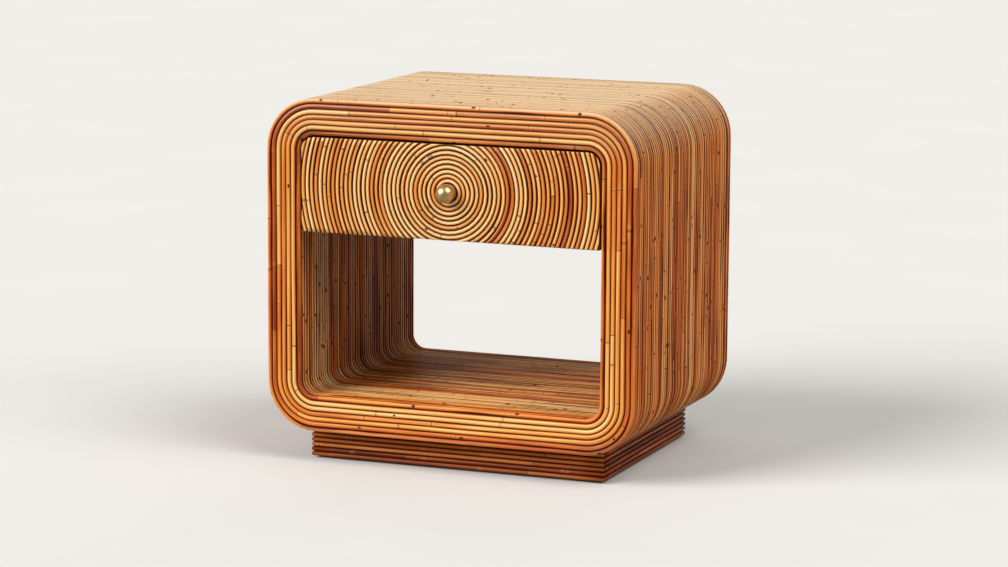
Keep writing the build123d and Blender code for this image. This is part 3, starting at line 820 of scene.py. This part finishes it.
for name, (across, deep) in SIDES.items():
    crown = Vector((across, deep, 0))
    along = Vector((-deep, across, 0))
    half_run = plinth_x if deep else plinth_y
    face = plinth_y if deep else plinth_x
    centre = Vector((0, plinth_middle, 0))
    bm = new_canes()
    for row in range(PLINTH_ROWS):
        start = centre + crown * (face - plinth_rise) - along * (half_run + PLINTH_SPARE)
        start.z = FRONT_LOW.z + (row + 0.5) * plinth_pitch
        # Painted shade: the canes on the left and right sides of the plinth get a darker tone
        tone = chance.choice(PLINTH_TONES) - (0.0 if deep else 0.16)  # darker at the sides
        length = 2 * half_run + 2 * PLINTH_SPARE
        lay_straight(bm, start, along, length, crown, plinth_pitch / 2 - HAIR, row, tone)
    saw(bm, [(centre + crown * face + along * end * half_run, along * end - crown) for end in (-1, 1)])
    write_bake_map(bm)
    piece = make_piece(f"plinth_{name}_split_canes", bm, "frame", "plinth_cane", plinth_cane_finish)
    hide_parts(f"plinth_{name}_canes")

# %% [markdown]
# ## The brass knob
#
# The knob is turned on a lathe, so its shape is a profile spun round one axis. The ball's part of the profile is
# itself made by spinning a single vertex round the ball's centre, and the neck and foot are a few more points. Old
# brass is darker in the places that hands don't polish, and it keeps faint rings from the lathe.

# %% Brass finish
TARNISHED, POLISHED = (0.58, 0.40, 0.19), (0.80, 0.60, 0.31)
finish = Finish("antique_brass", metallic=1.0)
place = finish.node("TexCoord").outputs["Object"]
across, _, height = finish.parts(place)
rise = finish.math("SUBTRACT", height, KNOB_Z)
square = finish.math("ADD", finish.math("POWER", across, 2.0), finish.math("POWER", rise, 2.0))
lathe = finish.math("SINE", finish.math("MULTIPLY", finish.math("SQRT", square), 9000.0))
tarnish = finish.noise(place, 70.0, 5.0, 0.4)
worn = finish.step(tarnish, 0.66, 0.36)
colour = finish.mix(worn, TARNISHED, POLISHED)
roughness = finish.math("MULTIPLY_ADD", tarnish, 0.14, 0.22)
relief = finish.math("MULTIPLY_ADD", tarnish, 0.6, finish.math("MULTIPLY", lathe, 0.1))
brass = finish.surface(colour, roughness, relief, 0.0001, 0.4)
print("finish:", brass.name)

# %% Knob
def turn_on_lathe(bm, steps):
    """Spins all that is there a full turn round the knob's axis."""
    geometry = bm.verts[:] + bm.edges[:]
    bmesh.ops.spin(
        bm, geom=geometry, cent=(0, 0, KNOB_Z), axis=(0, 1, 0), angle=2 * pi, steps=steps, use_merge=True)
    bmesh.ops.remove_doubles(bm, verts=bm.verts, dist=1e-6)


KNOB_LOW, KNOB_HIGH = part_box("knob")
ball = (KNOB_HIGH.x - KNOB_LOW.x) / 2
ball_y = KNOB_LOW.y + ball
bm = bmesh.new()
tip = bm.verts.new((0, KNOB_LOW.y, KNOB_Z))
arc = bmesh.ops.spin(bm, geom=[tip], cent=(0, ball_y, KNOB_Z), axis=(0, 0, 1), angle=radians(118), steps=20)
last = [item for item in arc["geom_last"] if isinstance(item, bmesh.types.BMVert)][0]
# Radius and Y of the points from the ball to the foot
NECK = ((0.0090, -0.2160), (0.0064, -0.2150), (0.0060, -0.2138), (0.0066, -0.2129), (0.0069, -0.2124))
for radius, y in (*NECK, (0.0069, BOARD_FACE), (0, BOARD_FACE)):
    point = bm.verts.new((radius, y, KNOB_Z))
    bm.edges.new((last, point))
    last = point
turn_on_lathe(bm, 56)
bmesh.ops.recalc_face_normals(bm, faces=bm.faces)
for face in bm.faces:
    face.smooth = True
knob = make_piece("turned_brass_knob", bm, "drawer", "brass", brass)
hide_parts("knob")
print("ball", round(2000 * ball, 1), "mm across")

# %% [markdown]
# ## Steel, nylon and felt
#
# The drawer runs on ball slides of zinc-plated steel with nylon strips that carry the balls, and the plinth stands on
# felt pads. They show only when the drawer is open or the table is turned over. Zinc has a fine cloudy pattern, nylon
# is smooth and slightly milky, and felt is a dull mass of short fibres.

# %% Small finishes
def speckled_finish(name, scale, light, dark, rough, depth, **constants):
    """A cloud of two tones; rough is the roughness of the dark tone and of the light one."""
    finish = Finish(name, **constants)
    place = finish.node("TexCoord").outputs["Object"]
    cloud = finish.noise(place, scale, 6.0, 0.3)
    colour = finish.ramp(cloud, (0.32, dark), (0.68, light))
    roughness = finish.math("MULTIPLY_ADD", cloud, rough[1] - rough[0], rough[0])
    return finish.surface(colour, roughness, cloud, depth, 0.5)


zinc = speckled_finish(
    "zinc_plated_steel", 220.0, light=(0.66, 0.67, 0.68), dark=(0.46, 0.47, 0.49), rough=(0.25, 0.42),
    depth=0.00005, metallic=1.0)
nylon = speckled_finish(
    "milky_nylon", 300.0, light=(0.78, 0.77, 0.72), dark=(0.66, 0.65, 0.60), rough=(0.38, 0.50), depth=0.00005)
felt = speckled_finish(
    "brown_felt", 1800.0, light=(0.10, 0.075, 0.055), dark=(0.035, 0.025, 0.018), rough=(0.9, 1.0), depth=0.0004)
print("finishes:", zinc.name, nylon.name, felt.name)

# %% [markdown]
# ## The knob's screw
#
# A screw from inside the drawer holds the knob. Its shank is out of sight, so only its slotted head is made. A profile
# is spun into the head, two cuts mark the slot, and the faces between them are pushed in.

# %% Screw head
SCREW_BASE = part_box("drawer_inner_front")[1].y
SCREW_PROFILE = ((0.0, 0.0022), (0.0022, 0.0021), (0.0038, 0.0016), (0.0045, 0.0008), (0.0045, 0.0))
HALF_SLOT = 0.0005
SLOT_DEPTH = 0.0010
bm = bmesh.new()
profile = [bm.verts.new((radius, SCREW_BASE + rise, KNOB_Z)) for radius, rise in SCREW_PROFILE]
for first, second in zip(profile, profile[1:]):
    bm.edges.new((first, second))
turn_on_lathe(bm, 32)
for side in (-1, 1):
    geometry = bm.verts[:] + bm.edges[:] + bm.faces[:]
    place = (0, 0, KNOB_Z + side * HALF_SLOT)
    bmesh.ops.bisect_plane(bm, geom=geometry, plane_co=place, plane_no=(0, 0, 1), dist=1e-7)
slot_faces = [
    face for face in bm.faces if abs(face.calc_center_median().z - KNOB_Z) < HALF_SLOT
    and face.calc_center_median().y > SCREW_BASE + 0.0011]
pushed = bmesh.ops.extrude_face_region(bm, geom=slot_faces)["geom"]
slot_floor = [item for item in pushed if isinstance(item, bmesh.types.BMVert)]
bmesh.ops.translate(bm, vec=(0, -SLOT_DEPTH, 0), verts=slot_floor)
bmesh.ops.delete(bm, geom=slot_faces, context="FACES")
bmesh.ops.recalc_face_normals(bm, faces=bm.faces)
make_piece("knob_screw_head", bm, "drawer", "steel", zinc)

# %% [markdown]
# ## Finishes for the CAD pieces that stay
#
# The record says which slot each node takes its finish from. A board's grain runs along its longest side, so the
# node's box picks the finish.

# %% Dress the CAD nodes
plain = {"steel": zinc, "nylon": nylon, "felt": felt, "brass": brass}
plain.update(cane=ring_cane_finish, plinth_cane=plinth_cane_finish)
timber = {"core_timber": core_timber, "drawer_timber": drawer_timber}
for subpart in frame["record"]["subparts"]:
    node, slot = subpart["node"], subpart["material_slot"]
    low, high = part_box(node)
    longest = max(range(3), key=lambda axis: high[axis] - low[axis])
    material = timber[slot][longest] if slot in timber else plain[slot]
    mesh = frame["nodes"][node].data
    mesh.materials.clear()
    mesh.materials.append(material)

# %% [markdown]
# ## Floor, light and camera
#
# The table stands on a plain pale floor. A far lamp at the left front models the canes, a high one at the right lights
# the top, the bend and that side, and a weak one stands behind the table. Far lamps light the whole floor evenly, so
# that nothing but the table draws the eye. The camera sees the floor pale, while the table gets back the weaker light
# of a grey one. The camera stands where the photo was taken from, found by fitting the table's edges to the picture.

# %% Floor
finish = Finish("pale_floor", specular_ior_level=0.0)
place = finish.node("TexCoord").outputs["Object"]
cloud = finish.noise(place, 3.0, 6.0)
colour = finish.ramp(cloud, (0.25, (0.725, 0.725, 0.715)), (0.75, (0.745, 0.745, 0.735)))
seen = finish.node("LightPath").outputs["Is Camera Ray"]
colour = finish.mix(seen, (0.36, 0.35, 0.34), colour)
finish.surface(colour, finish.math("MULTIPLY_ADD", cloud, 0.2, 0.45), cloud, 0.0005, 0.2)
bm = bmesh.new()
bmesh.ops.create_grid(bm, x_segments=1, y_segments=1, size=40.0)
mesh = bpy.data.meshes.new("floor")
bm.to_mesh(mesh)
bm.free()
floor = bpy.data.objects.new("floor", mesh)
mesh.materials.append(finish.material)
bpy.context.scene.collection.objects.link(floor)
print("floor laid")

# %% Lamps and world
def far_lamp(name, heading, spread, strength, colour):
    """A lamp so far away that it lights the whole floor evenly."""
    lamp = bpy.data.lights.new(name, "SUN")
    lamp.energy = strength
    lamp.angle = radians(spread)
    lamp.color = colour
    stand = bpy.data.objects.new(name, lamp)
    stand.rotation_euler = Vector(heading).to_track_quat("-Z", "Y").to_euler()
    bpy.context.scene.collection.objects.link(stand)


far_lamp("key_lamp", (0.60, 0.72, -0.55), spread=38, strength=3.05, colour=(1.0, 0.98, 0.95))
far_lamp("back_lamp", (0.25, -0.80, -0.50), spread=60, strength=0.30, colour=(1.0, 0.97, 0.92))
far_lamp("side_lamp", (-0.62, 0.20, -0.76), spread=45, strength=1.70, colour=(1.0, 0.97, 0.92))

world = bpy.data.worlds.new("studio")
bpy.context.scene.world = world
world.use_nodes = True
tree = world.node_tree
path = tree.nodes.new("ShaderNodeLightPath")
seen = tree.nodes.new("ShaderNodeMath")
seen.operation = "MAXIMUM"
tree.links.new(path.outputs["Is Camera Ray"], seen.inputs[0])
tree.links.new(path.outputs["Is Glossy Ray"], seen.inputs[1])
level = tree.nodes.new("ShaderNodeMapRange")
level.inputs["To Min"].default_value = 0.24
level.inputs["To Max"].default_value = 0.32
tree.links.new(seen.outputs[0], level.inputs["Value"])
tree.links.new(level.outputs[0], tree.nodes["Background"].inputs["Strength"])
tree.nodes["Background"].inputs["Color"].default_value = (1.0, 0.99, 0.97, 1.0)
bpy.context.scene.view_settings.view_transform = "Standard"
print("three lamps and a pale world")

# %% Camera
yaw, pitch, roll = radians(21.761), radians(9.502), 0.0058234
forward = Vector((-sin(yaw) * cos(pitch), cos(yaw) * cos(pitch), -sin(pitch)))
level_right = Vector((cos(yaw), sin(yaw), 0))
level_up = level_right.cross(forward)
right = level_right * cos(roll) + level_up * sin(roll)
up = right.cross(forward)
lens = bpy.data.cameras.new("camera")
lens.lens = 122.772
lens.sensor_width = 36.0
camera = bpy.data.objects.new("camera", lens)
camera.matrix_world = Matrix((right, up, -forward)).transposed().to_4x4()
camera.location = (1.995366, -4.978285, 1.164398)
bpy.context.scene.collection.objects.link(camera)
bpy.context.scene.camera = camera
print("camera at", tuple(camera.location))
